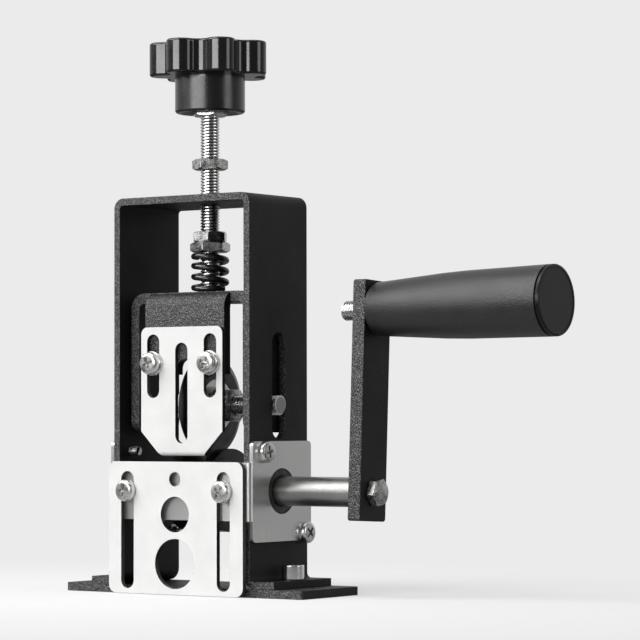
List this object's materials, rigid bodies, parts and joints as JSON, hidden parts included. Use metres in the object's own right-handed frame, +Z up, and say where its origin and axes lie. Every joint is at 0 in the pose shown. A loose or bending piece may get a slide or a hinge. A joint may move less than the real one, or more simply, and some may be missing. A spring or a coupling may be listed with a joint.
{
  "type": "manual wire stripper",
  "caption": "Bench-top cable stripper: a cranked, grooved roller draws the cable under a round blade that a star-knob screw presses down through a spring.",
  "frame": {"origin": "middle of the base plate's underside", "axes": "+Z up; +X along the drive shaft towards the crank; -Y the side where the cable goes in"},
  "size_m": [0.2255, 0.0506, 0.2279],
  "materials": {
    "black_powder": "fine sand-textured black powder coat",
    "white_paint": "satin near-white paint",
    "stainless": "brushed",
    "zinc": "bright zinc plate",
    "dark_steel": "dark hardened steel",
    "chrome": "polished",
    "bronze": "oiled sintered bronze",
    "black_wire": "glossy black",
    "black_gloss": "glossy",
    "black_satin": "satin"
  },
  "bodies": {
    "frame": {"base_plate": "black_powder", "u_frame": "black_powder", "foot_screw_left": "chrome", "foot_screw_right": "chrome", "bush_left": "bronze", "bush_right": "bronze", "wrap_bracket": "stainless", "bracket_screw_left_upper": "zinc", "bracket_screw_left_lower": "zinc", "bracket_screw_right_upper": "zinc", "bracket_screw_right_lower": "zinc", "guide_screw_left": "zinc", "guide_screw_right": "zinc", "guide_nut_left": "zinc", "guide_nut_right": "zinc"},
    "guide": {"guide_plate": "white_paint"},
    "crank": {"drive_shaft": "stainless", "feed_roller": "stainless", "roller_set_screw": "dark_steel", "shaft_collar_left": "dark_steel", "shaft_collar_right": "dark_steel", "crank_arm": "black_powder", "crank_bolt": "zinc", "handle_bolt": "zinc"},
    "handle": {"handle_grip": "black_satin", "handle_cap": "black_satin"},
    "spring": {"pressure_spring": "black_wire"},
    "screw": {"adjusting_screw": "zinc", "star_knob": "black_gloss", "knob_nut": "zinc", "jam_nut": "zinc", "spring_nut_upper": "zinc", "spring_nut_lower": "zinc", "retaining_nut": "zinc", "retaining_washer": "zinc"},
    "yoke": {"yoke": "black_powder", "axle_stud": "zinc", "axle_spacer_left": "zinc", "axle_spacer_right": "zinc", "axle_washer_left": "zinc", "axle_washer_right": "zinc", "axle_nut_left": "zinc", "axle_nut_right": "zinc", "guard_screw_left": "zinc", "guard_screw_right": "zinc", "guard_washer_left": "zinc", "guard_washer_right": "zinc"},
    "guard": {"blade_guard": "white_paint"},
    "blade": {"blade_disc": "dark_steel", "blade_bearing": "stainless"}
  },
  "joints": [
    {"name": "crank_turn", "type": "hinge", "parent": "frame", "child": "crank", "pos_m": [0, 0, 0.0424], "axis": [1, 0, 0], "continuous": true},
    {"name": "handle_spin", "type": "hinge", "parent": "crank", "child": "handle", "pos_m": [0.0815, 0.00358, 0.11551], "axis": [0.9998, 0.001, 0.02], "continuous": true},
    {"name": "guide_slide", "type": "slide", "parent": "frame", "child": "guide", "axis": [0, 0, 1], "range_m": [0, 0.03]},
    {"name": "screw_travel", "type": "slide", "parent": "frame", "child": "spring", "axis": [0, 0, 1], "range_m": [-0.00187, 0.01]},
    {"name": "knob_turn", "type": "hinge", "parent": "spring", "child": "screw", "pos_m": [0, 0, 0.2], "axis": [0, 0, 1], "range_deg": [-541, 2881]},
    {"name": "yoke_float", "type": "slide", "parent": "spring", "child": "yoke", "axis": [0, 0, 1], "range_m": [0, 0.004], "stiffness_N_per_m": 70000, "springref_m": -0.0003, "deforming": ["pressure_spring"]},
    {"name": "guard_slide", "type": "slide", "parent": "yoke", "child": "guard", "axis": [0, 0, 1], "range_m": [-0.003, 0.003]},
    {"name": "blade_spin", "type": "hinge", "parent": "yoke", "child": "blade", "pos_m": [0, 0, 0.0773], "axis": [1, 0, 0], "continuous": true}
  ],
  "couplings": [
    {"joint": "knob_turn", "follows": "screw_travel", "rad_per_m": 5026.5}
  ]
}
